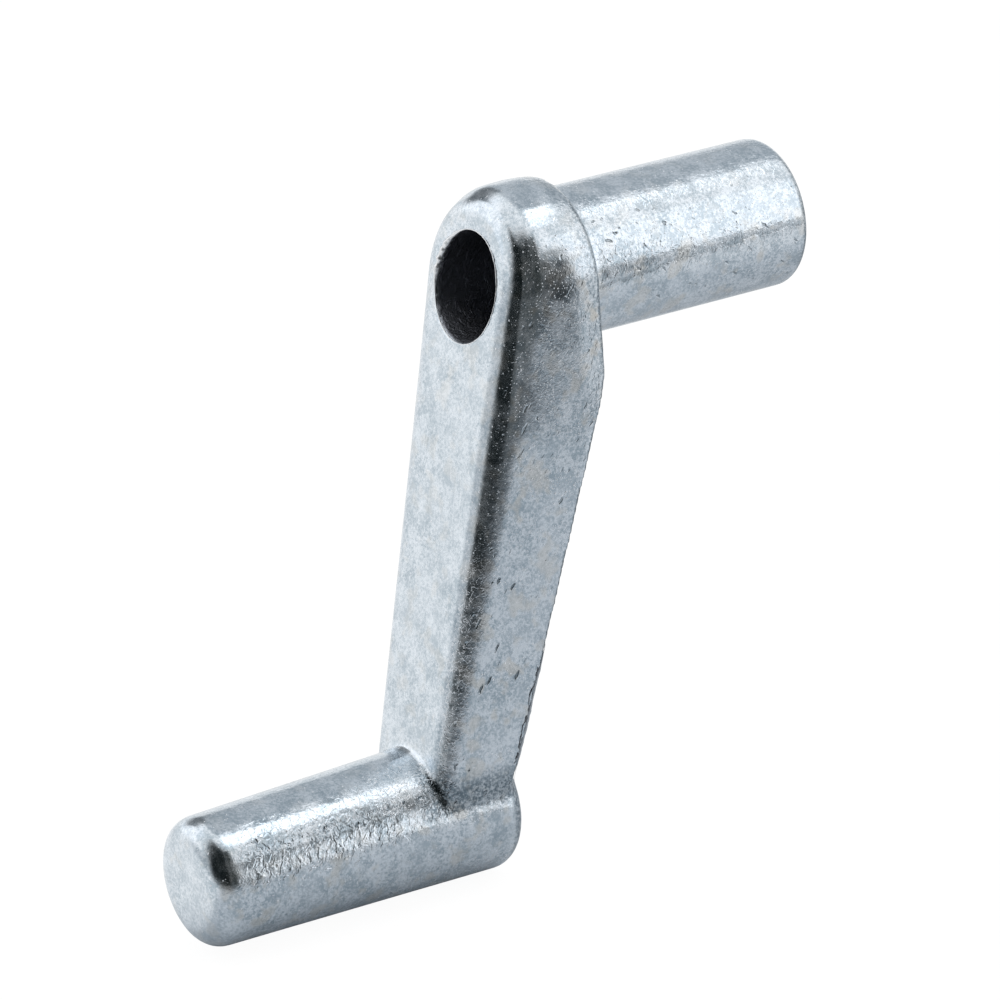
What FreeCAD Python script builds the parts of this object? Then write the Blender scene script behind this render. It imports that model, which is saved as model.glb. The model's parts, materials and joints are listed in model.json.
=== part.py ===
import FreeCAD, Part
import math
import os

import Sketcher

# Crank handle, die-cast in one piece.
#
# Frame: the origin is the middle of the shaft's free end, where the drive socket opens.
# +Y runs along the shaft and out of that socket, +Z is up, and the arm hangs towards -Z.
# The grip sticks out to the front, towards -Y. The handle is the same on both sides of X = 0.
# Every sketch has its own origin on the shaft's axis, in the plane of the hub's rear face,
# and the grip's sketch has it on the grip's axis, in the same plane.

NODE = "crank_handle"

# Driving dimensions, in millimetres, and in degrees where the name says so
SIZES = [
    ("shaft_length", 21.8, "hub's rear face to the free end of the shaft"),
    ("shaft_dia", 12.6, "shaft, parallel because it turns in a hole"),
    ("shaft_tip_round", 1.0, "rounding round the free end"),
    ("hub_dia", 15.55, "round upper end of the arm, at its rear face"),
    ("hub_thickness", 8.35, "rear face to front face, on the shaft's axis"),
    ("rear_land", 7.8, "the upright rear face ends this far below the shaft's axis"),
    ("rear_slope_deg", 19.25, "slope of the arm's back, from upright"),
    ("rear_bend_radius", 3.0, "bend from the upright rear face to the sloping back"),
    ("front_slope_deg", 14.3, "slope of the arm's front, from upright"),
    ("throw", 43.6, "shaft's axis to grip's axis"),
    ("foot_width", 11.8, "arm at the height of the grip's axis, at its rear face"),
    ("side_draft_deg", 1.0, "draft of the arm's sides, narrowing to the front"),
    ("hub_front_round", 2.75, "rounding of the arm's front edge round the hub"),
    ("foot_front_round", 2.0, "the same rounding at the height of the grip's axis"),
    ("grip_setback", 10.45, "hub's rear face to the grip's rear end"),
    ("grip_length", 29.2, "grip from end to end"),
    ("grip_rear_dia", 12.2, "grip at its rear end"),
    ("grip_front_dia", 10.9, "grip at its front end, less by the draft of the die"),
    ("grip_rear_round", 1.8, "rounding round the rear end"),
    ("grip_front_round", 2.1, "rounding round the front end"),
    ("head_bore_dia", 8.9, "parallel bore for the screw's head"),
    ("head_bore_depth", 13.0, "front face to the seat of the screw's head, on the axis"),
    ("screw_hole_dia", 4.5, "clearance hole for the screw"),
    ("web_thickness", 3.5, "web that the screw clamps, between the seat and the socket"),
    ("socket_flats", 7.94, "drive socket, across its six flats"),
]
VALUE = {name: number for name, number, _ in SIZES}

doc = FreeCAD.newDocument("CrankHandle")
sheet = doc.addObject("Spreadsheet::Sheet", "Sizes")
for row, (name, number, meaning) in enumerate(SIZES, start=1):
    sheet.set(f"A{row}", meaning)
    sheet.set(f"B{row}", str(number))
    sheet.setAlias(f"B{row}", name)
doc.recompute()

# Expressions that several sketches share
FRONT_TAN = "tan(Sizes.front_slope_deg * 1deg)"
REAR_TAN = "tan(Sizes.rear_slope_deg * 1deg)"
ABOVE_HUB = "Sizes.hub_dia"
BELOW_FOOT = "-(Sizes.throw + Sizes.grip_rear_dia)"
HEAD_SEAT = "(Sizes.head_bore_depth - Sizes.hub_thickness)"
SOCKET_FLOOR = f"({HEAD_SEAT} + Sizes.web_thickness)"

# A line's or an arc's ends and centre in a constraint, and the sketch's own origin and axes
START, END, CENTRE = range(1, 4)
ORIGIN = (-1, 1)
ACROSS_AXIS, UP_AXIS = range(-1, -3, -1)
UPRIGHT = FreeCAD.Vector(0, 0, 1)


def point(across, up):
    """A place in a sketch."""
    return FreeCAD.Vector(across, up, 0)


def new_body(name):
    return doc.addObject("PartDesign::Body", name)


def new_sketch(body, name, role, offsets):
    """A sketch on the body's own origin plane, moved by expressions along its own axes."""
    sketch = body.newObject("Sketcher::SketchObject", name)
    plane = next(item for item in body.Origin.OriginFeatures if item.Role == role)
    sketch.AttachmentSupport = [(plane, "")]
    sketch.MapMode = "FlatFace"
    for axis, expression in offsets.items():
        sketch.setExpression(f"AttachmentOffset.Base.{axis}", expression)
    return sketch


def front_view_sketch(body, name, depth="Sizes.shaft_length"):
    """X across and Z up, in the plane of the hub's rear face or the given depth before the origin."""
    return new_sketch(body, name, "XZ_Plane", {"z": depth})


def side_view_sketch(body, name, height="0"):
    """Y across and Z up, from the plane of the hub's rear face and the given height."""
    return new_sketch(body, name, "YZ_Plane", {"x": "-Sizes.shaft_length", "y": height})


def tie(sketch, *constraints):
    """Adds constraints that hold no size."""
    for constraint in constraints:
        sketch.addConstraint(Sketcher.Constraint(*constraint))


def drive(sketch, name, expression, *constraint):
    """Adds a named size and ties it to the sheet."""
    index = sketch.addConstraint(Sketcher.Constraint(*constraint))
    sketch.renameConstraint(index, name)
    sketch.setExpression(f"Constraints.{name}", expression)


def place(sketch, name, item, end, across, up):
    """Drives both coordinates of a point. They are pairs of a first guess and an expression."""
    for axis, kind, (guess, expression) in (("across", "DistanceX", across), ("up", "DistanceY", up)):
        drive(sketch, f"{name}_{axis}", expression, kind, *ORIGIN, item, end, guess)


def closed_polygon(sketch, corners):
    """A polygon whose corners are pairs of expressions, across and up from the origin."""
    count = len(corners)
    turns = [math.tau * step / count for step in range(count)]
    guess = [point(math.cos(turn), math.sin(turn)) for turn in turns]
    sides = [sketch.addGeometry(Part.LineSegment(guess[step], guess[(step + 1) % count]))
             for step in range(count)]
    for step, (across, up) in enumerate(corners):
        tie(sketch, ("Coincident", sides[step], END, sides[(step + 1) % count], START))
        place(sketch, f"corner{step}", sides[step], START, (guess[step].x, across), (guess[step].y, up))


def cut_off(body, name, corners):
    """Takes off what lies in a polygon of the side view, over the whole width."""
    sketch = side_view_sketch(body, f"{name}Sketch")
    closed_polygon(sketch, corners)
    pocket = body.newObject("PartDesign::Pocket", name)
    pocket.Profile = sketch
    pocket.Type = "ThroughAll"
    pocket.Midplane = True
    doc.recompute()
    return pocket


def turned(body, kind, name, sketch):
    """A full turn of a sketch about its own across axis, added or taken away."""
    feature = body.newObject(f"PartDesign::{kind}", name)
    feature.Profile = sketch
    feature.ReferenceAxis = (sketch, ["H_Axis"])
    feature.Angle = 360
    doc.recompute()
    return feature


def edge_numbers(shape, wanted):
    """Numbers of the edges that a test picks."""
    found = [number for number, edge in enumerate(shape.Edges, start=1) if wanted(edge)]
    if not found:
        raise RuntimeError("no edge was found to round")
    return found


def faces_beside(shape, edge):
    return [face for face in shape.Faces if any(edge.isSame(other) for other in face.Edges)]


def outward(face):
    """The outward normal at the middle of a face."""
    return face.normalAt(*face.Surface.parameter(face.CenterOfMass))


def rounded(body, name, feature, wanted, radius):
    """A fillet on the edges that a test picks, with its radius tied to the sheet."""
    fillet = body.newObject("PartDesign::Fillet", name)
    fillet.Base = (feature, [f"Edge{number}" for number in edge_numbers(feature.Shape, wanted)])
    fillet.setExpression("Radius", f"Sizes.{radius}")
    doc.recompute()
    return fillet


def arm_outline(sketch):
    """The arm seen from the front: a round hub and two straight sides that touch it.

    They close in downwards, and the straight lower end lies inside the grip, at its axis.
    """
    hub = VALUE["hub_dia"] / 2
    foot = VALUE["foot_width"] / 2
    drop = VALUE["throw"]
    lean = math.atan((hub - foot) / drop)
    touch = point(hub * math.cos(lean), -hub * math.sin(lean))
    arc = sketch.addGeometry(Part.ArcOfCircle(
        Part.Circle(point(0, 0), UPRIGHT, hub), -lean, math.pi + lean))
    left = sketch.addGeometry(Part.LineSegment(point(-touch.x, touch.y), point(-foot, -drop)))
    bottom = sketch.addGeometry(Part.LineSegment(point(-foot, -drop), point(foot, -drop)))
    right = sketch.addGeometry(Part.LineSegment(point(foot, -drop), touch))
    tie(sketch,
        ("Coincident", arc, CENTRE, *ORIGIN),
        ("Tangent", arc, END, left, START),
        ("Coincident", left, END, bottom, START),
        ("Coincident", bottom, END, right, START),
        ("Tangent", right, END, arc, START),
        ("Symmetric", bottom, START, bottom, END, UP_AXIS))
    drive(sketch, "hub_radius", "Sizes.hub_dia / 2", "Radius", arc, hub)
    place(sketch, "foot", bottom, END,
          (foot, "Sizes.foot_width / 2"), (-drop, "-Sizes.throw"))


def grip_outline(sketch):
    """Half section of the grip on its own axis, with both ends rounded.

    It is drawn below the axis, so the turned skin has its seam on the side away from the arm.
    The slanting skin runs through the sharp corners that the roundings take off.
    """
    rear = -VALUE["grip_setback"]
    front = rear - VALUE["grip_length"]
    rear_low, front_low = -VALUE["grip_rear_dia"] / 2, -VALUE["grip_front_dia"] / 2
    rear_round, front_round = VALUE["grip_rear_round"], VALUE["grip_front_round"]
    quarter = math.pi / 2

    def line(start, end):
        return sketch.addGeometry(Part.LineSegment(point(*start), point(*end)))

    def arc(across, up, radius, start):
        circle = Part.Circle(point(across, up), UPRIGHT, radius)
        return sketch.addGeometry(Part.ArcOfCircle(circle, start, start + quarter))

    axis = line((rear, 0), (front, 0))
    front_face = line((front, 0), (front, front_low + front_round))
    front_arc = arc(front + front_round, front_low + front_round, front_round, 2 * quarter)
    skin = line((front + front_round, front_low), (rear - rear_round, rear_low))
    rear_arc = arc(rear - rear_round, rear_low + rear_round, rear_round, 3 * quarter)
    rear_face = line((rear, rear_low + rear_round), (rear, 0))
    rear_corner = sketch.addGeometry(Part.Point(point(rear, rear_low)), True)
    front_corner = sketch.addGeometry(Part.Point(point(front, front_low)), True)
    tie(sketch,
        ("Coincident", axis, END, front_face, START),
        ("Tangent", front_face, END, front_arc, START),
        ("Tangent", front_arc, END, skin, START),
        ("Tangent", skin, END, rear_arc, START),
        ("Tangent", rear_arc, END, rear_face, START),
        ("Coincident", rear_face, END, axis, START),
        ("Vertical", front_face),
        ("Vertical", rear_face),
        ("PointOnObject", axis, END, ACROSS_AXIS),
        ("PointOnObject", rear_corner, START, skin),
        ("PointOnObject", front_corner, START, skin))
    rear_tie = (rear, "-Sizes.grip_setback")
    front_tie = (front, "-(Sizes.grip_setback + Sizes.grip_length)")
    place(sketch, "axis", axis, START, rear_tie, (0, "0"))
    drive(sketch, "length", front_tie[1], "DistanceX", *ORIGIN, axis, END, front)
    place(sketch, "rear", rear_corner, START, rear_tie, (rear_low, "-Sizes.grip_rear_dia / 2"))
    place(sketch, "front", front_corner, START, front_tie, (front_low, "-Sizes.grip_front_dia / 2"))
    drive(sketch, "rear_round", "Sizes.grip_rear_round", "Radius", rear_arc, rear_round)
    drive(sketch, "front_round", "Sizes.grip_front_round", "Radius", front_arc, front_round)


# The arm's core: the outline drawn forward with draft, then cut to its slanting side view
core = new_body("ArmCore")
outline = front_view_sketch(core, "ArmOutline")
arm_outline(outline)
blank = core.newObject("PartDesign::Pad", "ArmBlank")
blank.Profile = outline
blank.setExpression("Length", f"Sizes.hub_thickness - {FRONT_TAN} * {BELOW_FOOT}")
blank.setExpression("TaperAngle", "-Sizes.side_draft_deg")
doc.recompute()

FAR_FRONT = f"-2 * Sizes.hub_thickness + {FRONT_TAN} * {BELOW_FOOT}"
front_slope = cut_off(core, "FrontSlope", [
    (f"-Sizes.hub_thickness + {FRONT_TAN} * {ABOVE_HUB}", ABOVE_HUB),
    (FAR_FRONT, ABOVE_HUB),
    (FAR_FRONT, BELOW_FOOT),
    (f"-Sizes.hub_thickness + {FRONT_TAN} * {BELOW_FOOT}", BELOW_FOOT),
])
rear_slope = cut_off(core, "RearSlope", [
    ("0", "-Sizes.rear_land"),
    (f"{REAR_TAN} * ({BELOW_FOOT} + Sizes.rear_land)", BELOW_FOOT),
    ("Sizes.hub_thickness", BELOW_FOOT),
    ("Sizes.hub_thickness", "-Sizes.rear_land"),
])


def runs_across(edge):
    """A straight edge along X."""
    return isinstance(edge.Curve, Part.Line) and abs(edge.Curve.Direction.x) > 0.999


def in_the_bend(edge):
    """The edge along X between the upright rear face and the slope."""
    return runs_across(edge) and edge.CenterOfMass.z > -VALUE["throw"] / 2


bend = rounded(core, "RearBend", rear_slope, in_the_bend, "rear_bend_radius")


def is_front(face):
    return isinstance(face.Surface, Part.Plane) and outward(face).y < -0.5


def round_front(feature):
    """Rounds the front edge, full round the hub and falling evenly along both sides."""
    def radius_at(corner):
        is_foot = corner.Point.z < -VALUE["throw"] / 2
        return VALUE["foot_front_round" if is_foot else "hub_front_round"]

    def in_front(edge):
        return not runs_across(edge) and any(is_front(face) for face in faces_beside(feature.Shape, edge))

    fillet = doc.addObject("Part::Fillet", "FrontRound")
    fillet.Base = feature
    fillet.Edges = [(number,
                     radius_at(feature.Shape.Edges[number - 1].Vertexes[0]),
                     radius_at(feature.Shape.Edges[number - 1].Vertexes[-1]))
                    for number in edge_numbers(feature.Shape, in_front)]
    doc.recompute()
    return fillet


front_round = round_front(bend)

# The casting goes on from the rounded arm
casting = new_body("Casting")
casting.Label = NODE
casting.BaseFeature = front_round

# The shaft starts inside the hub
shaft_outline = side_view_sketch(casting, "ShaftOutline")
closed_polygon(shaft_outline, [
    ("-Sizes.hub_thickness / 2", "0"),
    ("Sizes.shaft_length", "0"),
    ("Sizes.shaft_length", "Sizes.shaft_dia / 2"),
    ("-Sizes.hub_thickness / 2", "Sizes.shaft_dia / 2"),
])
shaft = turned(casting, "Revolution", "Shaft", shaft_outline)

grip_sketch = side_view_sketch(casting, "GripOutline", height="-Sizes.throw")
grip_outline(grip_sketch)
grip = turned(casting, "Revolution", "Grip", grip_sketch)


def at_shaft_tip(edge):
    """The rim of the shaft's free end."""
    return isinstance(edge.Curve, Part.Circle) and abs(edge.Curve.Center.y) < 1e-4


shaft_tip = rounded(casting, "ShaftTipRound", grip, at_shaft_tip, "shaft_tip_round")

# The screw's bore from the front: a wide part for its head, then the hole through the web
bore_outline = side_view_sketch(casting, "ScrewBoreOutline")
BORE_START = "-2 * Sizes.hub_thickness"
closed_polygon(bore_outline, [
    (BORE_START, "0"),
    (SOCKET_FLOOR, "0"),
    (SOCKET_FLOOR, "Sizes.screw_hole_dia / 2"),
    (HEAD_SEAT, "Sizes.screw_hole_dia / 2"),
    (HEAD_SEAT, "Sizes.head_bore_dia / 2"),
    (BORE_START, "Sizes.head_bore_dia / 2"),
])
bore = turned(casting, "Groove", "ScrewBore", bore_outline)

# The hexagonal drive socket, from the shaft's free end to the web, with a corner upwards
socket_outline = front_view_sketch(casting, "SocketOutline", depth="0")
closed_polygon(socket_outline, [
    (f"Sizes.socket_flats / sqrt(3) * cos({60 * step + 30} * 1deg)",
     f"Sizes.socket_flats / sqrt(3) * sin({60 * step + 30} * 1deg)")
    for step in range(6)
])
socket = casting.newObject("PartDesign::Pocket", "DriveSocket")
socket.Profile = socket_outline
socket.Reversed = True
socket.setExpression("Length", f"Sizes.shaft_length - {SOCKET_FLOOR}")
doc.recompute()

for feature in (blank, front_slope, rear_slope, bend, front_round, shaft, grip, shaft_tip, bore, socket):
    print(f"{feature.Name:16} {feature.Shape.Volume:10.2f} mm3")

failed = [item.Name for item in doc.Objects if "Invalid" in item.State or "Error" in item.State]
if failed:
    raise RuntimeError(f"failed: {failed}")
shape = casting.Shape
if shape.isNull() or not shape.isValid() or len(shape.Solids) != 1:
    raise RuntimeError(f"{NODE} is not one valid solid")
os.makedirs("parts", exist_ok=True)
shape.exportStep(f"parts/{casting.Label}.step")
box = shape.optimalBoundingBox()
print(f"{NODE}: {box.XLength:.2f} x {box.YLength:.2f} x {box.ZLength:.2f} mm, {shape.Volume:.1f} mm3")
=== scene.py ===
# %% [markdown]
# # A die-cast crank handle
# The handle is one zinc casting: a shaft, a hub with a deep screw bore, a sloping arm and a round grip. The
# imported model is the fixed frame, and everything here is made on it, in metres. The plan is to keep the
# casting's true form, give it a finer mesh that can carry a cast skin, and then light it as metal is lit:
# with pale and dark cards that it can mirror.

import json
import math

import bpy
import numpy as np
from mathutils import Matrix, Vector


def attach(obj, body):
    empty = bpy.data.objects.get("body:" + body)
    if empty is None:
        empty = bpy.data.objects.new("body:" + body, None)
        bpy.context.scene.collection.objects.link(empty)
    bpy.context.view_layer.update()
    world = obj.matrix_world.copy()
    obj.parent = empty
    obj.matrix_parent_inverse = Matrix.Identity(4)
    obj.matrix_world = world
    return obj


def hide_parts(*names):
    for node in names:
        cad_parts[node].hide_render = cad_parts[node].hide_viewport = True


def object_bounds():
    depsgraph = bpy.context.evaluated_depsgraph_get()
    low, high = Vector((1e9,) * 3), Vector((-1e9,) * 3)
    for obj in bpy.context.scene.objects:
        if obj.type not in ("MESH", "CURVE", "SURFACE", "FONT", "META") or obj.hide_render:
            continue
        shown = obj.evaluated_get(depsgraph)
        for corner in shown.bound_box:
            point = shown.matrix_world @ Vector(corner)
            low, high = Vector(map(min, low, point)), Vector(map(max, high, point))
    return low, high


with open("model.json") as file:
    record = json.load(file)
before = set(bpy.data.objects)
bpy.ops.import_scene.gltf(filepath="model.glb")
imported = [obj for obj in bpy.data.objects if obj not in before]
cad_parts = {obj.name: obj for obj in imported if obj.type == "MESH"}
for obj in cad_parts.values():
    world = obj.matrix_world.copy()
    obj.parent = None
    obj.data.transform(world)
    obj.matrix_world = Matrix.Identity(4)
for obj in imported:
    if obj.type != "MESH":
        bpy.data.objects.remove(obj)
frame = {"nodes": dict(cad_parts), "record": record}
CAD_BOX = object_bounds()
MM = 0.001
NODE = "crank_handle"
print("frame:", [round((high - low) / MM, 2) for low, high in zip(*CAD_BOX)], "mm")

# %% [markdown]
# ## Where things are on the casting
# The frame gives the box, and the record gives the bore and the shaft. With the grip's radius and the slope
# of the arm's front, they give the places that the finish needs: the hub's rear face, where the front lies,
# and the grip's axis. The rest of this script works in millimetres and scales by MM where it makes a mesh.
# The arm hangs down from the hub, along -Z, the grip sticks out of its foot, along -Y, and +X is the side
# on the right.

# %% Places taken from the frame
MOUNTS = {mount["name"]: mount for mount in frame["record"]["mounts"]}
BORE_RADIUS = MOUNTS["screw_head_bore"]["dims"]["r_mm"]
BORE_MIDDLE = MOUNTS["screw_head_bore"]["pos_m"][1] / MM
BORE_LENGTH = MOUNTS["screw_head_bore"]["dims"]["length_mm"]
SHAFT_MIDDLE = MOUNTS["shaft"]["pos_m"][1] / MM
SHAFT_LENGTH = MOUNTS["shaft"]["dims"]["length_mm"]
HUB_REAR = round(SHAFT_MIDDLE - SHAFT_LENGTH / 2, 3)
HUB_RADIUS = CAD_BOX[1].x / MM
BOTTOM = CAD_BOX[0].z / MM
GRIP_RADIUS = 6.1
GRIP_AXIS = BOTTOM + GRIP_RADIUS
FRONT_SLOPE = math.tan(math.radians(14.3))
FRONT = BORE_MIDDLE - BORE_LENGTH / 2 + BORE_RADIUS * FRONT_SLOPE
print("grip axis at", round(GRIP_AXIS, 2), "mm, hub radius", round(HUB_RADIUS, 2), "mm, rear", HUB_REAR)

# %% [markdown]
# ## Camera
# The photograph was taken with a long lens from the front right and a little above. The camera stands on a
# line of sight given by two angles and a roll, so these few numbers say all about the view. They come from
# fitting the handle's outline to the photograph, and so does the pixel on which the hub's rear centre
# falls.

# %% Camera
AZIMUTH, ELEVATION, ROLL = 59.034, 17.79, -5.216
PIXELS_PER_MM = 12.177
DISTANCE = 1 / 0.00233
CENTRE_PIXEL = (550.967, 265.104)
PHOTO_SIZE = 1000
SENSOR = 36
CLIP = (0.01, 10)


def linked(name, data):
    made = bpy.data.objects.new(name, data)
    bpy.context.scene.collection.objects.link(made)
    return made


def line_of_sight(azimuth, elevation, roll):
    """Rows of a rotation: the camera's right, up and backward directions."""
    a, e, r = (math.radians(angle) for angle in (azimuth, elevation, roll))
    right = Vector((math.cos(a), math.sin(a), 0))
    back = Vector((math.sin(a) * math.cos(e), -math.cos(a) * math.cos(e), math.sin(e)))
    up = back.cross(right)
    return (math.cos(r) * right + math.sin(r) * up, math.cos(r) * up - math.sin(r) * right, back)


def add_camera():
    right, up, back = line_of_sight(AZIMUTH, ELEVATION, ROLL)
    focal = PIXELS_PER_MM * DISTANCE
    across = (CENTRE_PIXEL[0] - PHOTO_SIZE / 2) / focal * DISTANCE
    down = (CENTRE_PIXEL[1] - PHOTO_SIZE / 2) / focal * DISTANCE
    aim = Vector((0, HUB_REAR, 0))
    place = (aim + back * DISTANCE - right * across + up * down) * MM
    data = bpy.data.cameras.new("camera")
    data.sensor_width = SENSOR
    data.lens = SENSOR * focal / PHOTO_SIZE
    data.clip_start, data.clip_end = CLIP
    camera = linked("camera", data)
    camera.matrix_world = Matrix.Translation(place) @ Matrix((right, up, back)).transposed().to_4x4()
    bpy.context.scene.camera = camera
    print("camera: lens", round(data.lens, 1), "mm at", [round(x, 3) for x in place])


add_camera()

# %% [markdown]
# ## A finer mesh
# The CAD mesh has few, long triangles, which is right for its flat faces but leaves no points for a cast
# skin. A voxel remesh gives an even net of small squares. It leaves faint steps on slanting faces, so the
# net is smoothed, laid back on the true surface with Shrinkwrap, and smoothed once more. That last pass
# rounds the sharp edges a little, as molten metal does, because it never fills a die's corner quite to a
# point.

# %% Helpers for modifiers
def smooth(piece, passes, group=""):
    modifier = piece.modifiers.new("smooth", "SMOOTH")
    modifier.factor = 0.5
    modifier.iterations = passes
    modifier.vertex_group = group


def settle(piece):
    """Turns the modifiers' result into the piece's plain mesh."""
    evaluated = piece.evaluated_get(bpy.context.evaluated_depsgraph_get())
    mesh = bpy.data.meshes.new_from_object(evaluated)
    piece.modifiers.clear()
    piece.vertex_groups.clear()
    piece.data = mesh


# %% Remesh a copy of the CAD node
VOXEL = 0.25 * MM
MERGE = 0.001 * MM
PASSES_BEFORE_WRAP, PASSES_AFTER_WRAP = 3, 2


def remeshed_copy(name):
    true_form = linked("true_form", frame["nodes"][NODE].data.copy())
    weld = true_form.modifiers.new("weld", "WELD")
    weld.merge_threshold = MERGE
    settle(true_form)
    piece = linked(name, true_form.data.copy())
    remesh = piece.modifiers.new("remesh", "REMESH")
    remesh.mode = "VOXEL"
    remesh.voxel_size = VOXEL
    remesh.use_smooth_shade = True
    smooth(piece, PASSES_BEFORE_WRAP)
    wrap = piece.modifiers.new("wrap", "SHRINKWRAP")
    wrap.target = true_form
    smooth(piece, PASSES_AFTER_WRAP)
    settle(piece)
    bpy.data.objects.remove(true_form)
    piece.data.materials.clear()
    return piece


casting = remeshed_copy("casting")
print("casting", len(casting.data.polygons), "faces")

# %% [markdown]
# ## Soft corners
# The real casting is rounder than the plain form in a few places. The hub's rear rim rolls inwards over its
# last few millimetres, the hub's side is a little barrelled, and the arm runs into the grip through a
# shallow crease. These are small moves of points, given by where each point lies. The roots of the shaft,
# the arm and the grip are softened by more passes of smoothing, held to a vertex group.

# %% Points as arrays
def read_points(mesh):
    points = np.empty(len(mesh.vertices) * 3)
    mesh.vertices.foreach_get("co", points)
    return points.reshape(-1, 3) / MM


def write_points(mesh, points):
    mesh.vertices.foreach_set("co", (points * MM).ravel())
    mesh.update()


def ramp(values, low, high):
    """Runs smoothly from 0 at low to 1 at high."""
    share = np.clip((values - low) / (high - low), 0, 1)
    return share * share * (3 - 2 * share)


def within(values, low, low_full, high_full, high):
    """0 outside low and high, and 1 from low_full to high_full."""
    return ramp(values, low, low_full) * ramp(-values, -high, -high_full)


# %% Roll the hub's rear rim
CROWN_WIDTH, CROWN_DEPTH = 2.9, 0.34
BARREL_WIDTH, BARREL_DEPTH, BARREL_END = 3.6, 0.17, 6
RIM_REACH = (0.88 * HUB_RADIUS, 0.96 * HUB_RADIUS)
ABOVE_ARM = (-13.0, -6.0)


def roll_rim(piece):
    points = read_points(piece.data)
    x, y, z = points.T
    outward = np.column_stack([x, np.zeros_like(x), np.maximum(z, 0)])
    reach = np.linalg.norm(outward, axis=1)
    outward /= np.maximum(reach, 1e-6)[:, None]
    depth = CROWN_DEPTH * np.clip((y - HUB_REAR + CROWN_WIDTH) / CROWN_WIDTH, 0, 1) ** 2
    depth += BARREL_DEPTH * (np.clip(HUB_REAR - CROWN_WIDTH - y, 0, BARREL_END) / BARREL_WIDTH) ** 2
    share = ramp(reach, *RIM_REACH) * ramp(z, *ABOVE_ARM) * (y < HUB_REAR + 0.3)
    write_points(piece.data, points - outward * (depth * share)[:, None])
    print("rim rolled by up to", round(float((depth * share).max()), 2), "mm")


roll_rim(casting)

# %% Press a shallow crease above the foot
FOOT_CREASE, CREASE_DEPTH, CREASE_WIDTH = -41.5, 0.06, 0.50


def crease_foot(piece):
    points = read_points(piece.data)
    x, y, z = points.T
    flank = ramp(np.abs(x), 4.2, 5.2) * ramp(y, -42.0, -40.5)
    depth = CREASE_DEPTH * flank * np.exp(-((z - FOOT_CREASE) / CREASE_WIDTH) ** 2)
    points[:, 0] -= np.sign(x) * depth
    write_points(piece.data, points)
    print("crease pressed by up to", round(float(depth.max()), 2), "mm")


crease_foot(casting)

# %% Soften the roots of the shaft, the arm and the grip
SOFT_PASSES = 14


def soft_weights(points):
    """1 in the corners that are softened, and on the hub's rear edge."""
    x, y, z = points.T
    across = np.hypot(x, z)
    shaft_root = within(y, HUB_REAR - 0.5, HUB_REAR - 0.1, -21.2, -20.6) * within(across, 5.6, 6.2, 6.9, 7.3)
    arm_root = within(z, -44.5, -42.3, -41.0, -39.0) * ramp(np.abs(x), 3.2, 5.0) * (y > -41.6)
    rear_rim = ramp(y, HUB_REAR - 0.8, HUB_REAR - 0.2) * ramp(across, 7.0, 7.4) * ramp(z, *ABOVE_ARM)
    off_front = y - FRONT - z * FRONT_SLOPE
    off_grip = np.hypot(x, z - GRIP_AXIS) - GRIP_RADIUS
    grip_root = within(off_front, -0.8, -0.3, 0.3, 0.8) * within(off_grip, -0.8, -0.3, 0.3, 0.8)
    grip_root *= ramp(z, GRIP_AXIS + 3.0, GRIP_AXIS + 4.5)
    return np.maximum.reduce([shaft_root, arm_root, grip_root, rear_rim])


def soften(piece):
    group = piece.vertex_groups.new(name="soften")
    weights = soft_weights(read_points(piece.data))
    for index in np.flatnonzero(weights > 0.01):
        group.add([int(index)], float(weights[index]), "REPLACE")
    smooth(piece, SOFT_PASSES, "soften")
    settle(piece)
    print("softened", int((weights > 0.01).sum()), "points")


soften(casting)
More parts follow.
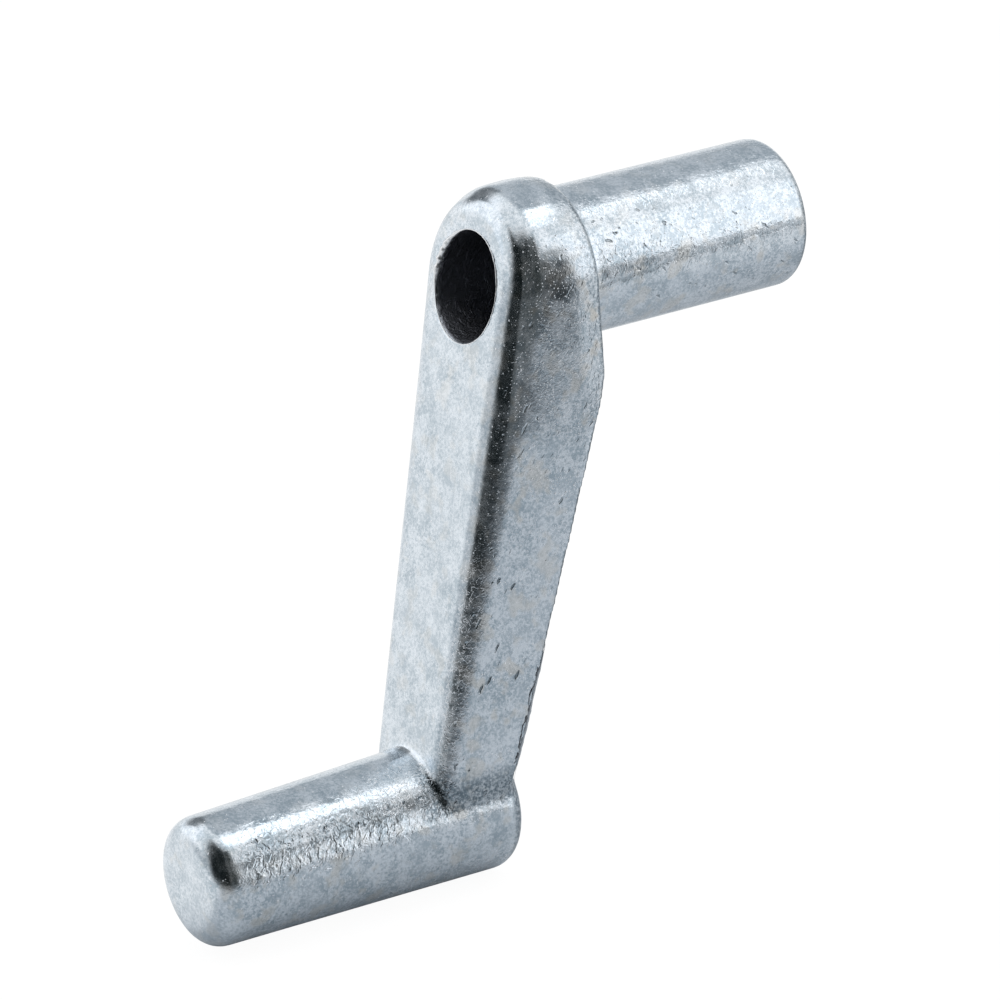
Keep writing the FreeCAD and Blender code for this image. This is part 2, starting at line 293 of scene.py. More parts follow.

# %% [markdown]
# ## Material
# Cast zinc is a dull, bluish metal. Its skin is mottled where the metal froze, with paler and warmer
# patches, tiny bright flecks, fine wrinkles and a few small pits. Use has added fine scratches low on the
# arm's front edge and a scuffed rim behind the hub. Painted shade darkens the corner above the grip, the
# arm's rear edge and the bore. All of it is noise on Object coordinates, scaled to millimetres, so it has
# no seam and lies on every side. Height goes into Bump, because metal shows its surface by what it mirrors.
#
# A node tree takes many calls, so a small class holds the ones that repeat.

# %% Helpers for node trees
class Tree:
    """A node tree with short calls for adding and linking nodes."""

    def __init__(self, tree):
        self.tree = tree
        tree.nodes.clear()

    def add(self, kind, **settings):
        node = self.tree.nodes.new(kind)
        for name, value in settings.items():
            setattr(node, name, value)
        return node

    def link(self, out, into):
        self.tree.links.new(out, into)

    def feed(self, socket, value):
        """Links an output or sets a plain value."""
        if isinstance(value, bpy.types.NodeSocket):
            self.link(value, socket)
        else:
            socket.default_value = value

    def math(self, operation, first, second=0.0):
        node = self.add("ShaderNodeMath", operation=operation)
        self.feed(node.inputs[0], first)
        self.feed(node.inputs[1], second)
        return node.outputs[0]

    def chain(self, operation, values):
        result = values[0]
        for value in values[1:]:
            result = self.math(operation, result, value)
        return result

    def product(self, *values):
        return self.chain("MULTIPLY", values)

    def total(self, *values):
        return self.chain("ADD", values)

    def highest(self, *values):
        return self.chain("MAXIMUM", values)

    def gap(self, first, second):
        return self.math("ABSOLUTE", self.math("SUBTRACT", first, second))

    def length(self, first, second):
        return self.math("SQRT", self.total(self.product(first, first), self.product(second, second)))

    def fade(self, value, low, high, low_out=0.0, high_out=1.0):
        """Runs smoothly from one output to another while value goes from low to high."""
        node = self.add("ShaderNodeMapRange", interpolation_type="SMOOTHSTEP")
        for name, number in (("Value", value), ("From Min", low), ("From Max", high),
                             ("To Min", low_out), ("To Max", high_out)):
            self.feed(node.inputs[name], number)
        return node.outputs[0]

    def fall(self, value, low, high, end=0.0):
        """Runs smoothly from 1 down to end."""
        return self.fade(value, low, high, 1.0, end)

    def mix(self, factor, first, second):
        """A Mix node keeps its colour sockets behind those for numbers and vectors."""
        node = self.add("ShaderNodeMix", data_type="RGBA")
        for index, value in ((0, factor), (6, first), (7, second)):
            self.feed(node.inputs[index], value)
        return node.outputs[2]

    def parts(self, vector):
        node = self.add("ShaderNodeSeparateXYZ")
        self.link(vector, node.inputs[0])
        return node.outputs


# %% Helpers for patterns
class Patterns(Tree):
    """A material's node tree, with noise and spots."""

    def texture(self, kind, where, **sizes):
        node = self.add(kind)
        self.link(where, node.inputs["Vector"])
        for name, size in sizes.items():
            node.inputs[name].default_value = size
        return node.outputs

    def noise(self, where, scale, detail, rough=0.55, distortion=0.0):
        return self.texture("ShaderNodeTexNoise", where, Scale=scale, Detail=detail, Roughness=rough,
                            Distortion=distortion)["Fac"]

    def spots(self, where, scale, size, share):
        """Soft spots in some cells of a Voronoi pattern: 1 in the middle of a spot."""
        cells = self.texture("ShaderNodeTexVoronoi", where, Scale=scale)
        chosen = self.add("ShaderNodeSeparateColor")
        self.link(cells["Color"], chosen.inputs[0])
        inside = self.fall(cells["Distance"], 0.45 * size, size)
        return self.product(inside, self.math("LESS_THAN", chosen.outputs[0], share))

    def pushed(self, where, scale, reach):
        """The same place pushed about a little, so that marks laid on it come out crooked."""
        node = self.add("ShaderNodeVectorMath", operation="MULTIPLY_ADD")
        self.link(self.texture("ShaderNodeTexNoise", where, Scale=scale)["Color"], node.inputs[0])
        node.inputs[1].default_value = (reach, reach, reach)
        self.link(where, node.inputs[2])
        return node.outputs[0]

    def leaning(self, where, degrees, stretch):
        """Stretches a pattern along a line that leans from up towards +Y."""
        node = self.add("ShaderNodeMapping", vector_type="TEXTURE")
        self.link(where, node.inputs["Vector"])
        node.inputs["Rotation"].default_value = (-math.radians(degrees), 0, 0)
        node.inputs["Scale"].default_value = (1, 1, stretch)
        return node.outputs[0]


# %% [markdown]
# ### Where a point lies and which way it faces
# The skin is not alike all over: the grip and the shaft are crinkled, the front of the arm is smooth, and
# most of the wear is on the right side. So each finish is a pattern times a few masks, and a mask is a soft
# step on where the point lies or on which way it faces.

# %% The skin's places and zones
SHAFT_START = (HUB_REAR - 0.2, HUB_REAR + 0.4)
GRIP_START, ABOVE_GRIP = (-45.0, -42.0), (-39.0, -36.5)
BORE_WALL, BORE_END = (BORE_RADIUS - 0.02, BORE_RADIUS + 0.16), (-14.5, -13.5)


class Skin(Patterns):
    """The casting's node tree: places in millimetres, facings, zones, and the noises that are shared."""

    def __init__(self, tree):
        super().__init__(tree)
        own = self.add("ShaderNodeTexCoord").outputs
        scaled = self.add("ShaderNodeVectorMath", operation="SCALE")
        self.link(own["Object"], scaled.inputs[0])
        scaled.inputs["Scale"].default_value = 1 / MM
        self.where = scaled.outputs[0]
        self.x, self.y, self.z = self.parts(self.where)
        self.right, self.rearward, self.upward = self.parts(own["Normal"])
        self.radius = self.length(self.x, self.z)
        self.shaft = self.fade(self.y, *SHAFT_START)
        self.grip = self.product(self.fall(self.z, *ABOVE_GRIP), self.fall(self.y, *GRIP_START))
        self.bore = self.product(self.fall(self.radius, *BORE_WALL), self.fall(self.y, *BORE_END))
        self.mottle = self.noise(self.where, 0.6, 3, 0.66)
        self.grain = self.noise(self.where, 3.6, 2, 0.85)
        self.bent = self.pushed(self.where, 1.3, 0.5)


# %% [markdown]
# ### Marks
# Bright marks are where the metal is bare: flecks all over, a frost of fine ones on the right side, and
# scratches. A scratch is a contour line of noise, broken by a second noise, which looks less drawn than a
# straight stroke. Pits are spots stretched into short strokes, which lean one way on the arm and the other
# way on the shaft.

# %% Bright marks
def scratches(skin):
    """Fine lines on the arm's rounded front edge, low down."""
    wander = skin.noise(skin.leaning(skin.bent, 50, 1.8), 2.6, 1, 0.5)
    line = skin.fall(skin.gap(wander, 0.5), 0.01, 0.045)
    broken = skin.fade(skin.noise(skin.where, 3.1, 1), 0.4, 0.55)
    return skin.product(line, broken, skin.fall(skin.z, -25.0, -17.0, 0.15), skin.fade(skin.y, -46.0, -45.0),
                        skin.fade(skin.right, 0.15, 0.3), skin.fall(skin.right, 0.85, 0.97, 0.25))


def bright_marks(skin):
    frost = skin.product(skin.spots(skin.where, 4.6, 0.28, 0.5), skin.fade(skin.right, 0.4, 0.9),
                         skin.fade(skin.z, -30, -12, 0.35))
    return skin.highest(skin.spots(skin.where, 2.9, 0.20, 0.28), skin.spots(skin.where, 1.3, 0.13, 0.25),
                        frost, skin.product(scratches(skin), 0.7))


# %% Pits and specks
def pits_and_specks(skin):
    strokes = skin.mix(skin.shaft, skin.leaning(skin.bent, 35, 3.8), skin.leaning(skin.bent, -40, 3.0))
    low_or_shaft = skin.highest(skin.fall(skin.z, -22.0, -14.0, 0.35), skin.product(skin.shaft, 0.7))
    above_foot = skin.fade(skin.z, -42.0, -40.5)
    pits = skin.product(skin.spots(strokes, 1.25, 0.19, 0.6), skin.fade(skin.right, 0.55, 0.85),
                        low_or_shaft, above_foot)
    specks = skin.product(skin.spots(strokes, 2.2, 0.20, 0.35), skin.fade(skin.right, 0.5, 0.9))
    return pits, specks


# %% The die's parting line on the shaft: a thin groove that wanders
def parting_line(skin):
    along = skin.math("ADD", skin.y, 0.5)
    middle = skin.total(skin.product(along, along, -0.0025), skin.mottle, -0.28)
    groove = skin.fall(skin.gap(skin.z, middle), 0.03, 0.30)
    return skin.product(groove, skin.shaft, skin.fade(skin.right, 0.6, 0.9),
                        skin.fade(skin.grain, 0.35, 0.6, 0.1, 0.8))


# %% Wear and painted shade: the scuffed rim behind the hub, painted shade in the grip's corner and on the arm's sharp rear edge
def scuffed_rim(skin):
    return skin.product(skin.fade(skin.y, HUB_REAR - 2.4, HUB_REAR - 0.8),
                        skin.fall(skin.y, HUB_REAR, HUB_REAR + 0.3),
                        skin.fade(skin.radius, HUB_RADIUS - 0.9, HUB_RADIUS - 0.5))


# Painted shade: the colour is darkened in the corner above the grip, where shade falls; the mask also
# crinkles the relief there.
def grip_corner(skin):
    """1 where both the arm's front and the grip's round surface are near, above the foot."""
    off_front = skin.total(skin.product(skin.z, FRONT_SLOPE), skin.product(skin.y, -1.0), FRONT)
    above_axis = skin.math("SUBTRACT", skin.z, GRIP_AXIS)
    off_grip = skin.math("SUBTRACT", skin.length(skin.x, above_axis), GRIP_RADIUS)
    return skin.product(skin.fall(skin.highest(off_front, off_grip), 0.4, 1.8),
                        skin.fade(skin.right, 0.2, 0.6),
                        skin.fade(skin.z, -42.4, -41.6), skin.fade(skin.y, -47.0, -46.0))


# Painted shade: the arm's rear edge, where it faces back and to the right, is darkened in the colour.
def rear_edge_shade(skin):
    return skin.product(skin.fade(skin.rearward, 0.12, 0.5), skin.fade(skin.right, 0.25, 0.6))


# %% [markdown]
# ### Colour
# The mottle runs between a blue grey and a pale one. It is stronger on the right side, because bumps in the
# real metal also catch the light there. Warm patches, bright marks and dark marks are laid over it, one
# after another, and painted shade darkens the grip's corner, the arm's rear edge and the bore.

# %% Colour
PALE, BLUE, WARM = (0.81, 0.87, 0.925, 1), (0.42, 0.50, 0.56, 1), (0.74, 0.70, 0.63, 1)
# The dark colours: one for real pits, also used as painted shade in the grip's corner and on the rear edge,
# and one that is painted shade in the bore.
BRIGHT, PIT_AND_SHADE, BORE_SHADE = (0.95, 0.97, 1.0, 1), (0.12, 0.16, 0.19, 1), (0.24, 0.25, 0.28, 1)
MOTTLE_SHARE, GRAIN_SHARE = 0.44, 0.56
CONTRAST_IN_FRONT, CONTRAST_ON_SIDE = 0.95, 1.5
WARM_IN_FRONT, WARM_ON_SIDE = 0.3, 0.5
RIM_DIRT = 0.3
SIDE = (0.2, 0.9)


def mottled_zinc(skin):
    """The clean metal: blue and pale, with warm and paler patches."""
    tone = skin.total(skin.product(skin.mottle, MOTTLE_SHARE), skin.product(skin.grain, GRAIN_SHARE))
    contrast = skin.fade(skin.right, *SIDE, CONTRAST_IN_FRONT, CONTRAST_ON_SIDE)
    tone = skin.math("ADD", skin.product(skin.math("SUBTRACT", tone, 0.5), contrast), 0.5)
    colour = skin.mix(skin.fade(tone, 0.36, 0.64), BLUE, PALE)
    warm = skin.fade(skin.noise(skin.where, 0.5, 2, 0.6), 0.52, 0.66)
    beige = skin.total(skin.fade(skin.right, *SIDE, WARM_IN_FRONT, WARM_ON_SIDE),
                       skin.product(skin.rim, RIM_DIRT))
    colour = skin.mix(skin.product(warm, beige, skin.fall(skin.upward, 0.1, 0.5, 0.35)), colour, WARM)
    patches = skin.noise(skin.where, 0.22, 3, 0.6)
    return skin.mix(skin.fade(patches, 0.35, 0.65, 0.0, 0.28), colour, PALE)


def marked(skin, colour):
    """The metal's colour with its marks, the scuffed rim, and painted shade in the corner, rear edge and
    bore.
    """
    colour = skin.mix(skin.flecks, colour, BRIGHT)
    cut = skin.highest(skin.product(skin.specks, 0.30), skin.product(skin.pits, 0.85),
                       skin.product(skin.seam, 0.5))
    # Painted shade in the grip's corner and on the arm's rear edge, together with the scuffed rim, which is
    # real wear.
    dirt_and_shade = skin.product(skin.highest(skin.corner, rear_edge_shade(skin), skin.product(skin.rim, RIM_DIRT)),
                        skin.fade(skin.grain, 0.35, 0.65, 0.9, 0.35))
    colour = skin.mix(skin.highest(cut, dirt_and_shade), colour, PIT_AND_SHADE)
    # Painted shade in the bore: its walls are darkened in the colour.
    return skin.mix(skin.bore, colour, BORE_SHADE)


# %% [markdown]
# ### Relief
# The metal is smooth in front and above, crinkled on the grip, the shaft and in the bore, and dented most
# on the side. Each layer is a depth, in hundredths of a millimetre, times a pattern and the mask of where
# it lies. A depth below zero cuts into the metal.

# %% Relief
BUMP_UNIT = 0.01 * MM
GRIP_TOP = (GRIP_AXIS + 3.6, GRIP_AXIS + 5.2)


def crinkled_zone(skin):
    below_top = skin.fall(skin.z, *GRIP_TOP, 0.3)
    behind_tip = skin.fade(skin.y, -59.2, -57.0)
    return skin.highest(skin.product(skin.grip, below_top, behind_tip), skin.product(skin.shaft, 0.5),
                        skin.product(skin.bore, 1.5), skin.rim, skin.corner)


def relief(skin):
    side = skin.highest(skin.fade(skin.right, 0.55, 0.95, 0.35), skin.shaft)
    calm = skin.product(side, skin.fall(skin.z, -30.0, -16.0, 0.35), skin.fade(skin.y, -59.5, -57.0, 0.2))
    dents = skin.noise(skin.where, 0.9, 1, 0.5)
    wrinkles = skin.fade(skin.noise(skin.leaning(skin.where, 30, 1.6), 1.8, 2, 0.5, 0.6), 0.42, 0.58)
    layers = (
        (4.5, dents, calm),
        (1.2, skin.mottle, calm),
        (1.3, skin.grain, side),
        (1.7, wrinkles, crinkled_zone(skin)),
        (1.2, skin.flecks),
        (-8.0, skin.pits),
        (-2.5, skin.seam),
        (-1.2, skin.specks),
    )
    height = skin.total(*(skin.product(*pattern, depth) for depth, *pattern in layers))
    bump = skin.add("ShaderNodeBump")
    bump.inputs["Strength"].default_value = 1.0
    bump.inputs["Distance"].default_value = BUMP_UNIT
    skin.link(height, bump.inputs["Height"])
    return bump.outputs[0]


# %% Cast zinc
def zinc_material():
    material = bpy.data.materials.new("cast_zinc")
    material.use_nodes = True
    skin = Skin(material.node_tree)
    skin.flecks, skin.seam = bright_marks(skin), parting_line(skin)
    skin.pits, skin.specks = pits_and_specks(skin)
    skin.rim, skin.corner = scuffed_rim(skin), grip_corner(skin)
    roughness = skin.highest(skin.fade(skin.mottle, 0.3, 0.7, 0.15, 0.26), skin.product(skin.flecks, 0.5),
                             skin.product(skin.bore, 0.45))
    metal = skin.add("ShaderNodeBsdfPrincipled")
    metal.inputs["Metallic"].default_value = 1.0
    skin.link(marked(skin, mottled_zinc(skin)), metal.inputs["Base Color"])
    skin.link(roughness, metal.inputs["Roughness"])
    skin.link(relief(skin), metal.inputs["Normal"])
    skin.link(metal.outputs[0], skin.add("ShaderNodeOutputMaterial").inputs["Surface"])
    print("cast zinc:", len(material.node_tree.nodes), "nodes")
    return material


casting.data.materials.append(zinc_material())

# %% [markdown]
# ## Trimmed flash and the bore's burr
# Where the two halves of a die meet, a thin skin of metal is squeezed out and broken off. It leaves a
# ragged line along the arm's rear edge, widest near the grip, with a dark crack beside it, and there is a
# fine, bright burr round the mouth of the bore. The crack's darkness is painted shade on a thin bead. All
# three follow a path, so one Geometry Nodes tree makes them: it turns the path into a curve, gives each
# point a ragged thickness, and sweeps a small circle along it.

# %% A ragged bead along a path
RING_SIDES = 8


def bead_tree():
    group = bpy.data.node_groups.new("ragged_bead", "GeometryNodeTree")
    sockets = group.interface
    sockets.new_socket("Path", in_out="INPUT", socket_type="NodeSocketGeometry")
    for name, value in (("Step", 0.1 * MM), ("Raggedness", 0.6), ("Grain", 1200.0), ("Seed", 1.0)):
        sockets.new_socket(name, in_out="INPUT", socket_type="NodeSocketFloat").default_value = value
    sockets.new_socket("Material", in_out="INPUT", socket_type="NodeSocketMaterial")
    sockets.new_socket("Bead", in_out="OUTPUT", socket_type="NodeSocketGeometry")
    tree = Tree(group)
    given = tree.add("NodeGroupInput").outputs
    curve = tree.add("GeometryNodeMeshToCurve")
    tree.link(given["Path"], curve.inputs["Mesh"])
    even = tree.add("GeometryNodeResampleCurve", mode="LENGTH")
    tree.link(curve.outputs[0], even.inputs["Curve"])
    tree.link(given["Step"], even.inputs["Length"])
    width = tree.add("GeometryNodeInputNamedAttribute", data_type="FLOAT")
    width.inputs["Name"].default_value = "half_width"
    ragged = tree.add("ShaderNodeTexNoise", noise_dimensions="4D")
    tree.link(tree.add("GeometryNodeInputPosition").outputs[0], ragged.inputs["Vector"])
    tree.link(given["Seed"], ragged.inputs["W"])
    tree.link(given["Grain"], ragged.inputs["Scale"])
    swing = tree.product(tree.math("SUBTRACT", ragged.outputs[0], 0.5), given["Raggedness"], 2.0)
    radius = tree.product(width.outputs["Attribute"], tree.math("ADD", 1.0, swing))
    ring = tree.add("GeometryNodeCurvePrimitiveCircle")
    ring.inputs["Resolution"].default_value = RING_SIDES
    ring.inputs["Radius"].default_value = 1.0
    swept = tree.add("GeometryNodeCurveToMesh")
    tree.link(even.outputs[0], swept.inputs["Curve"])
    tree.link(radius, swept.inputs["Scale"])
    tree.link(ring.outputs[0], swept.inputs["Profile Curve"])
    swept.inputs["Fill Caps"].default_value = True
    real = tree.add("GeometryNodeRealizeInstances")
    tree.link(swept.outputs[0], real.inputs[0])
    painted = tree.add("GeometryNodeSetMaterial")
    tree.link(real.outputs[0], painted.inputs["Geometry"])
    tree.link(given["Material"], painted.inputs["Material"])
    tree.link(painted.outputs[0], tree.add("NodeGroupOutput").inputs["Bead"])
    return group


BEAD = bead_tree()
print("ragged_bead:", len(BEAD.nodes), "nodes")


# %% Lay the bead on a path
def add_bead(name, places, half_widths, closed, material, **settings):
    """A bead along places in millimetres."""
    mesh = bpy.data.meshes.new(name)
    count = len(places)
    mesh.from_pydata([Vector(place) * MM for place in places],
                     [(i, (i + 1) % count) for i in range(count if closed else count - 1)], [])
    layer = mesh.attributes.new("half_width", "FLOAT", "POINT")
    layer.data.foreach_set("value", [float(width) * MM for width in half_widths])
    piece = linked(name, mesh)
    modifier = piece.modifiers.new("bead", "NODES")
    modifier.node_group = BEAD
    for item in BEAD.interface.items_tree:
        if item.name in settings:
            modifier[item.identifier] = settings[item.name]
        if item.name == "Material":
            modifier[item.identifier] = material
    settle(piece)
    print(name, len(piece.data.polygons), "faces")
    return piece


def torn_metal_and_crack_shade(name, colour):
    """Torn metal is rougher than the cast skin and pale where it is fresh. The crack's dark colour is painted
    shade.
    """
    material = bpy.data.materials.new(name)
    material.use_nodes = True
    metal = material.node_tree.nodes["Principled BSDF"]
    metal.inputs["Base Color"].default_value = colour
    metal.inputs["Metallic"].default_value = 1.0
    metal.inputs["Roughness"].default_value = 0.45
    return material


# %% The flash along the arm's rear edge, whose path is read from the casting
EDGE_TOP, EDGE_END, EDGE_STEP = -12.0, -41.6, 0.5
FLASH_TOP = -29.0
FLASH_HALF_WIDTH, THINNEST = 0.16, 0.01


def rear_edge():
    """Outermost rear points of the arm's right side, level by level."""
    points = read_points(casting.data)
    places = []
    for level in np.arange(EDGE_TOP, EDGE_END, -EDGE_STEP):
        slab = points[(np.abs(points[:, 2] - level) < 0.3) & (points[:, 0] > 3) & (points[:, 1] > -41)]
        best = slab[np.argmax(slab[:, 0] + 0.9 * slab[:, 1])]
        places.append((best[0], best[1], level))
    places = np.array(places)
    for _ in range(3):
        places[1:-1] = (places[:-2] + 2 * places[1:-1] + places[2:]) / 4
    return places


edge = rear_edge()
edge = edge[edge[:, 2] < FLASH_TOP]
widths = FLASH_HALF_WIDTH * ramp(-edge[:, 2], 29.5, 32.5) * ramp(edge[:, 2], -39.6, -38.2) + THINNEST
flash = add_bead("flash", edge - np.outer(widths, (0.5, 0.4, 0)), widths, False,
                 torn_metal_and_crack_shade("broken_zinc", (0.52, 0.55, 0.58, 1)), Raggedness=0.7, Seed=3.0)

# %% The crack beside the flash, laid on the arm's side as a dark bead whose colour is painted shade
CRACK_TOP, CRACK_END, CRACK_STEP = -31.3, -39.2, 0.2
BESIDE_EDGE, WANDER, JITTER, PROUD = 0.36, 0.10, 0.09, 0.02


def crack_path(chance):
    """A wandering line a little in front of the edge, on the nearest points of the side."""
    points = read_points(casting.data)
    points = points[(points[:, 0] > 3) & (points[:, 2] < -28)]
    places = []
    for z in np.arange(CRACK_TOP, CRACK_END, -CRACK_STEP):
        y = np.interp(-z, -edge[:, 2], edge[:, 1]) - BESIDE_EDGE
        y = y + WANDER * math.sin(2.1 * z) + chance.uniform(-JITTER, JITTER)
        near = points[np.argsort(np.hypot(points[:, 1] - y, points[:, 2] - z))[:4]]
        places.append((near[:, 0].mean() + PROUD, y, z))
    return places


chance = np.random.default_rng(7)
places = crack_path(chance)
# Painted shade: the crack is a thin dark bead on the side.
crack = add_bead("crack", places, chance.uniform(0.02, 0.07, len(places)), False,
                 torn_metal_and_crack_shade("crack_shade", (0.22, 0.23, 0.25, 1)), Raggedness=0.8, Grain=2500.0, Seed=8.0)

# %% The burr round the bore's mouth, widest at its upper left
BURR_POINTS = 120
BURR_HALF_WIDTH, BURR_TORN = 0.05, 0.22

turns = np.linspace(0, math.tau, BURR_POINTS + 1)[:-1]
reach = BORE_RADIUS + 0.12
mouth = np.column_stack([reach * np.cos(turns), FRONT + reach * np.sin(turns) * FRONT_SLOPE + 0.02,
                         reach * np.sin(turns)])
torn = ramp(-np.cos(turns), 0.2, 0.8) * ramp(np.sin(turns), -0.4, 0.3)
burr = add_bead("burr", mouth, BURR_HALF_WIDTH + BURR_TORN * torn, True,
                torn_metal_and_crack_shade("bright_burr", (0.86, 0.88, 0.90, 1)), Raggedness=1.1, Grain=1900.0, Seed=5.0)

# %% [markdown]
# ## Studio
# Metal shows what stands round it. The photograph was taken in a white tent on a pale table: the tent is
# open towards the camera, which makes the dark parts, and a soft box hangs behind and above, which makes
# the highlights. Each wall of the tent is a curved card that only reflections see, with soft edges. A card
# is given by its span of azimuth and elevation round the handle, its distance in metres, its colour, and
# how many degrees its left, right, lower and upper edges take to fade. Where cards cover each other, the
# nearer one is seen.

# %% Curved cards
TARGET = Vector((0, -30, -21)) * MM
CARD_STEPS = 16
SHARP = 0.1


def direction(azimuth, elevation):
    """Azimuth 0 is towards +X and 90 towards +Y."""
    a, e = math.radians(azimuth), math.radians(elevation)
    return Vector((math.cos(a) * math.cos(e), math.sin(a) * math.cos(e), math.sin(e)))


def card_material(name, colour, spans, softness):
    """Light that fades out towards the card's left, right, lower and upper edge, over softness in degrees."""
    material = bpy.data.materials.new(name)
    material.use_nodes = True
    tree = Tree(material.node_tree)
    out = tree.add("ShaderNodeOutputMaterial")
    glow = tree.add("ShaderNodeEmission")
    glow.inputs["Color"].default_value = (*colour, 1)
    if not any(softness):
        tree.link(glow.outputs[0], out.inputs["Surface"])
        return material
    masks = []
    shares = tree.parts(tree.add("ShaderNodeUVMap", uv_map="card").outputs[0])
    for share, span, low, high in zip(shares, spans, softness[::2], softness[1::2]):
        masks.append(tree.fade(share, 0.0, max(low, SHARP) / span))
        masks.append(tree.fall(share, 1.0 - max(high, SHARP) / span, 1.0))
    both = tree.add("ShaderNodeMixShader")
    tree.link(tree.product(*masks), both.inputs[0])
    tree.link(tree.add("ShaderNodeBsdfTransparent").outputs[0], both.inputs[1])
    tree.link(glow.outputs[0], both.inputs[2])
    tree.link(both.outputs[0], out.inputs["Surface"])
    return material


# %% A card is part of a sphere
def card_mesh(name, azimuths, elevations, radius, middle):
    steps = CARD_STEPS
    spans = (azimuths[1] - azimuths[0], elevations[1] - elevations[0])
    shares = [(u / steps, v / steps) for v in range(steps + 1) for u in range(steps + 1)]
    points = [middle + direction(azimuths[0] + u * spans[0], elevations[0] + v * spans[1]) * radius
              for u, v in shares]
    faces = [(row + column, row + column + 1, row + column + steps + 2, row + column + steps + 1)
             for row in range(0, steps * (steps + 1), steps + 1) for column in range(steps)]
    mesh = bpy.data.meshes.new(name)
    mesh.from_pydata(points, [], faces)
    layer = mesh.uv_layers.new(name="card")
    for loop in mesh.loops:
        layer.data[loop.index].uv = shares[loop.vertex_index]
    return mesh, spans


def add_card(name, azimuths, elevations, radius, colour, softness=(0, 0, 0, 0), middle=TARGET):
    """A curved card that is seen in reflections only."""
    mesh, spans = card_mesh(name, azimuths, elevations, radius, middle)
    mesh.materials.append(card_material(name, colour, spans, softness))
    card = linked(name, mesh)
    card.visible_camera = card.visible_diffuse = card.visible_shadow = False
    card.visible_transmission = card.visible_volume_scatter = False
    print("card:", name)


# %% [markdown]
# ### The cards
# The hub's round side is dark where the grip's, which faces the same way, is bright. A distant card would
# show in both. Two small cards that hang close to the hub don't: seen from the hub they fill a good part of
# the view, and seen from the grip they stand somewhere else.

# %% Two near cards that shade the hub
HUB = Vector((0, -25, 0)) * MM
add_card("hub_shade", (5, 32), (-24, 49), 0.05, (0.05, 0.052, 0.052), (7, 8, 6, 34), HUB)
add_card("hub_foot", (-36, 12), (-25, -5), 0.051, (0.13, 0.135, 0.135), (8, 8, 6, 6), HUB)

# %% The dark opening of the tent and its grey edge
add_card("opening_side", (-26, 18.5), (-12, 68), 0.19, (0.04, 0.044, 0.042), (14, 8, 6, 12))
add_card("tent_opening", (-108, -4), (-16, 74), 0.191, (0.012, 0.015, 0.015), (28, 22, 16, 14))
add_card("tent_edge", (-136, -100), (-20, 16), 0.25, (0.60, 0.62, 0.64), (14, 0, 0, 6))

# %% The pale walls, the ceiling and the soft box
add_card("back_left", (156, 200), (15, 50), 0.45, (0.18, 0.19, 0.20), (5, 4, 6, 6))
add_card("ceiling_back", (98, 170), (16, 80), 0.58, (0.52, 0.55, 0.58))
add_card("soft_box", (42, 96), (57, 78), 0.60, (2.1, 2.1, 2.12), (4, 4, 5, 4))
add_card("side_wall", (22, 62), (-7, 44), 0.66, (1.32, 1.33, 1.35), (6, 0, 0, 0))
add_card("front_sheet", (-180, -122), (12, 60), 0.60, (1.22, 1.22, 1.24))

# %% [markdown]
# ## World, floor and lamp
# The picture's background is plain white, with a faint shadow under the handle. The floor is white to the
# camera through Light Path, so it needs no strong lamp, and the metal mirrors a grey table instead. The
# table's white stretch on the left, brighter one behind and darker ones in front are painted light and
# shade, with a painted shadow behind the shaft, and are seen only in reflections.

# %% World
SOFT_WHITE, WHITE = (0.8, 0.8, 0.82, 1), (1, 1, 1, 1)


def add_world():
    world = bpy.data.worlds.new("studio")
    bpy.context.scene.world = world
    world.use_nodes = True
    tree = Tree(world.node_tree)
    background = tree.add("ShaderNodeBackground")
    ray = tree.add("ShaderNodeLightPath").outputs
    seen = tree.highest(ray["Is Camera Ray"], ray["Is Glossy Ray"], ray["Is Transmission Ray"])
    tree.link(tree.mix(seen, SOFT_WHITE, WHITE), background.inputs["Color"])
    tree.link(background.outputs[0], tree.add("ShaderNodeOutputWorld").inputs["Surface"])
    print("world:", world.name)


add_world()

# %% Shaders for the floor
# In reflections the table's dark grey is painted shade and shadow, and its light is painted light.
TABLE_GREY, TABLE_DARK, SHADOW_GREY = (0.61, 0.64, 0.66), (0.05, 0.05, 0.05), (0.09, 0.09, 0.09)
TABLE_LIGHT, FLOOR_LIGHT = 0.93, 0.95


class FloorTree(Tree):
    """A node tree with the shaders of the floor."""

    def paper(self, grey):
        made = self.add("ShaderNodeBsdfDiffuse")
        made.inputs["Color"].default_value = (*grey, 1)
        return made.outputs[0]

    def light(self, strength):
        made = self.add("ShaderNodeEmission")
        made.inputs["Strength"].default_value = strength
        return made.outputs[0]

    def either(self, share, first, second):
        made = self.add("ShaderNodeMixShader")
        for index, value in enumerate((share, first, second)):
            self.link(value, made.inputs[index])
        return made.outputs[0]

    def both(self, first, second):
        made = self.add("ShaderNodeAddShader")
        self.link(first, made.inputs[0])
        self.link(second, made.inputs[1])
        return made.outputs[0]


# %% Floor
FLOOR_HALF, FLOOR_DROP = 1.5, 0.1


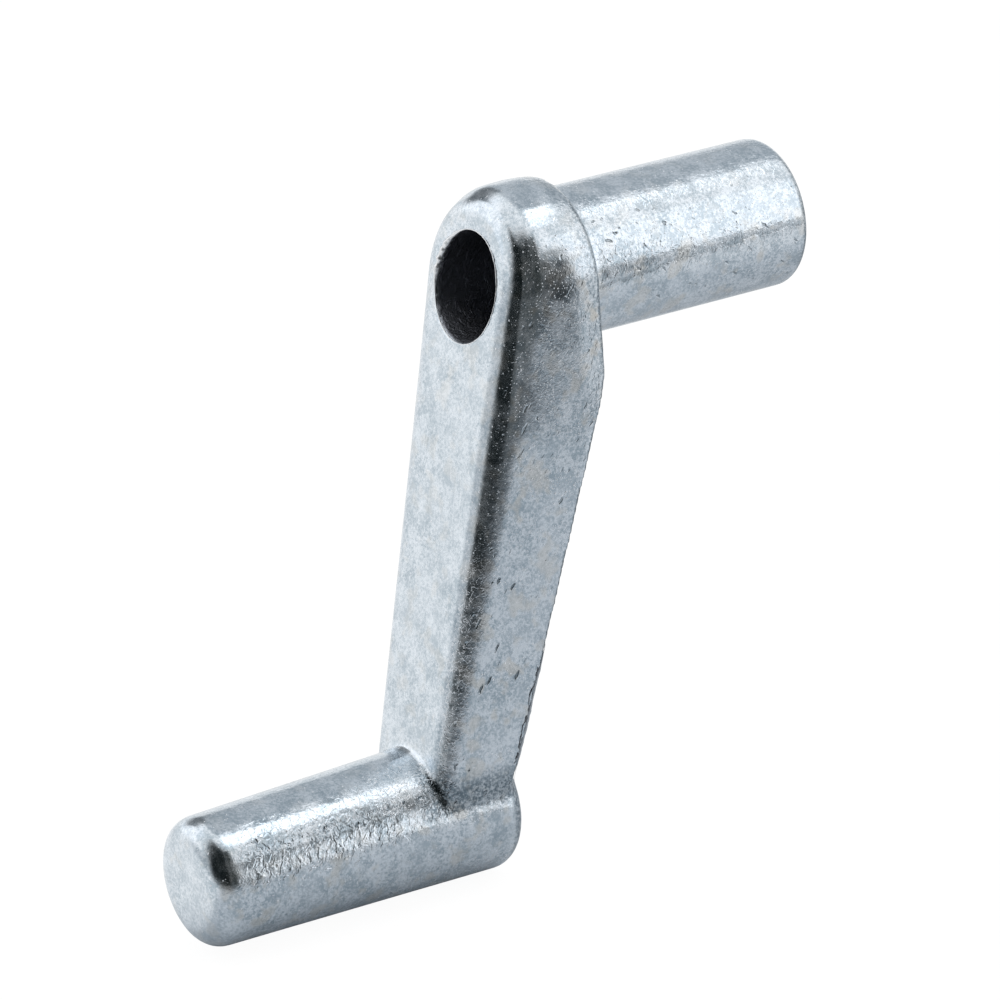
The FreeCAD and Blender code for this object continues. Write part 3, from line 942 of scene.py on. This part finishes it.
def table_zones(tree):
    """Painted light and shade on the mirrored table, with a shadow behind the shaft, by millimetres from the
    handle.
    """
    place = tree.parts(tree.add("ShaderNodeTexCoord").outputs["Object"])
    x, y = (tree.product(place[i], 1 / MM) for i in (0, 1))
    right = tree.total(tree.product(x, 0.87), tree.product(y, 0.5))
    back = tree.total(tree.product(x, -0.5), tree.product(y, 0.87))
    front = tree.total(tree.product(x, 0.906), tree.product(y, -0.423), -12.7)
    bright = tree.highest(tree.fall(right, -46, -30),
                          tree.product(tree.fade(right, 50, 85), tree.fade(back, -20, 0), 0.55))
    # Painted shade on the mirrored table: darker to the far right and in front, and a painted shadow behind
    # the shaft.
    dim = tree.highest(tree.product(tree.fade(right, 97, 118), tree.fall(back, -20, -6), 0.6),
                       tree.product(tree.fade(back, 0, 25), tree.fall(right, 30, 60), 0.18),
                       tree.product(tree.fade(front, 80, 105), 0.7))
    return bright, dim


def floor_material():
    """White to the camera but for a faint shadow, and a table with painted light and shade in reflections."""
    material = bpy.data.materials.new("table")
    material.use_nodes = True
    tree = FloorTree(material.node_tree)
    bright, dim = table_zones(tree)
    seen = tree.both(tree.paper(SHADOW_GREY), tree.light(FLOOR_LIGHT))
    table = tree.either(dim, tree.paper(TABLE_GREY), tree.paper(TABLE_DARK))
    mirrored = tree.either(bright, table, tree.light(TABLE_LIGHT))
    ray = tree.add("ShaderNodeLightPath").outputs
    tree.link(tree.either(ray["Is Camera Ray"], mirrored, seen),
              tree.add("ShaderNodeOutputMaterial").inputs["Surface"])
    return material


def add_floor():
    half, level = FLOOR_HALF, (BOTTOM - FLOOR_DROP) * MM
    mesh = bpy.data.meshes.new("floor")
    mesh.from_pydata([(-half, -half, level), (half, -half, level), (half, half, level), (-half, half, level)],
                     [], [(0, 1, 2, 3)])
    mesh.materials.append(floor_material())
    linked("floor", mesh)
    print("floor at", round(level / MM, 2), "mm")


add_floor()

# %% Lamp: it throws the floor's faint shadow, and stays out of reflections
def add_lamp(name, azimuth, elevation, distance, size, power):
    data = bpy.data.lights.new(name, "AREA")
    data.size, data.energy = size, power
    lamp = linked(name, data)
    towards = direction(azimuth, elevation)
    lamp.location = TARGET + towards * distance
    lamp.rotation_euler = towards.to_track_quat("Z", "Y").to_euler()
    lamp.visible_glossy = False
    print("lamp:", name, power, "W")


add_lamp("soft_lamp", azimuth=70, elevation=62, distance=0.6, size=0.4, power=0.5)

# %% Close
for piece in (casting, flash, crack, burr):
    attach(piece, "root")
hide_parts(NODE)
bpy.context.scene.view_settings.view_transform = "Standard"
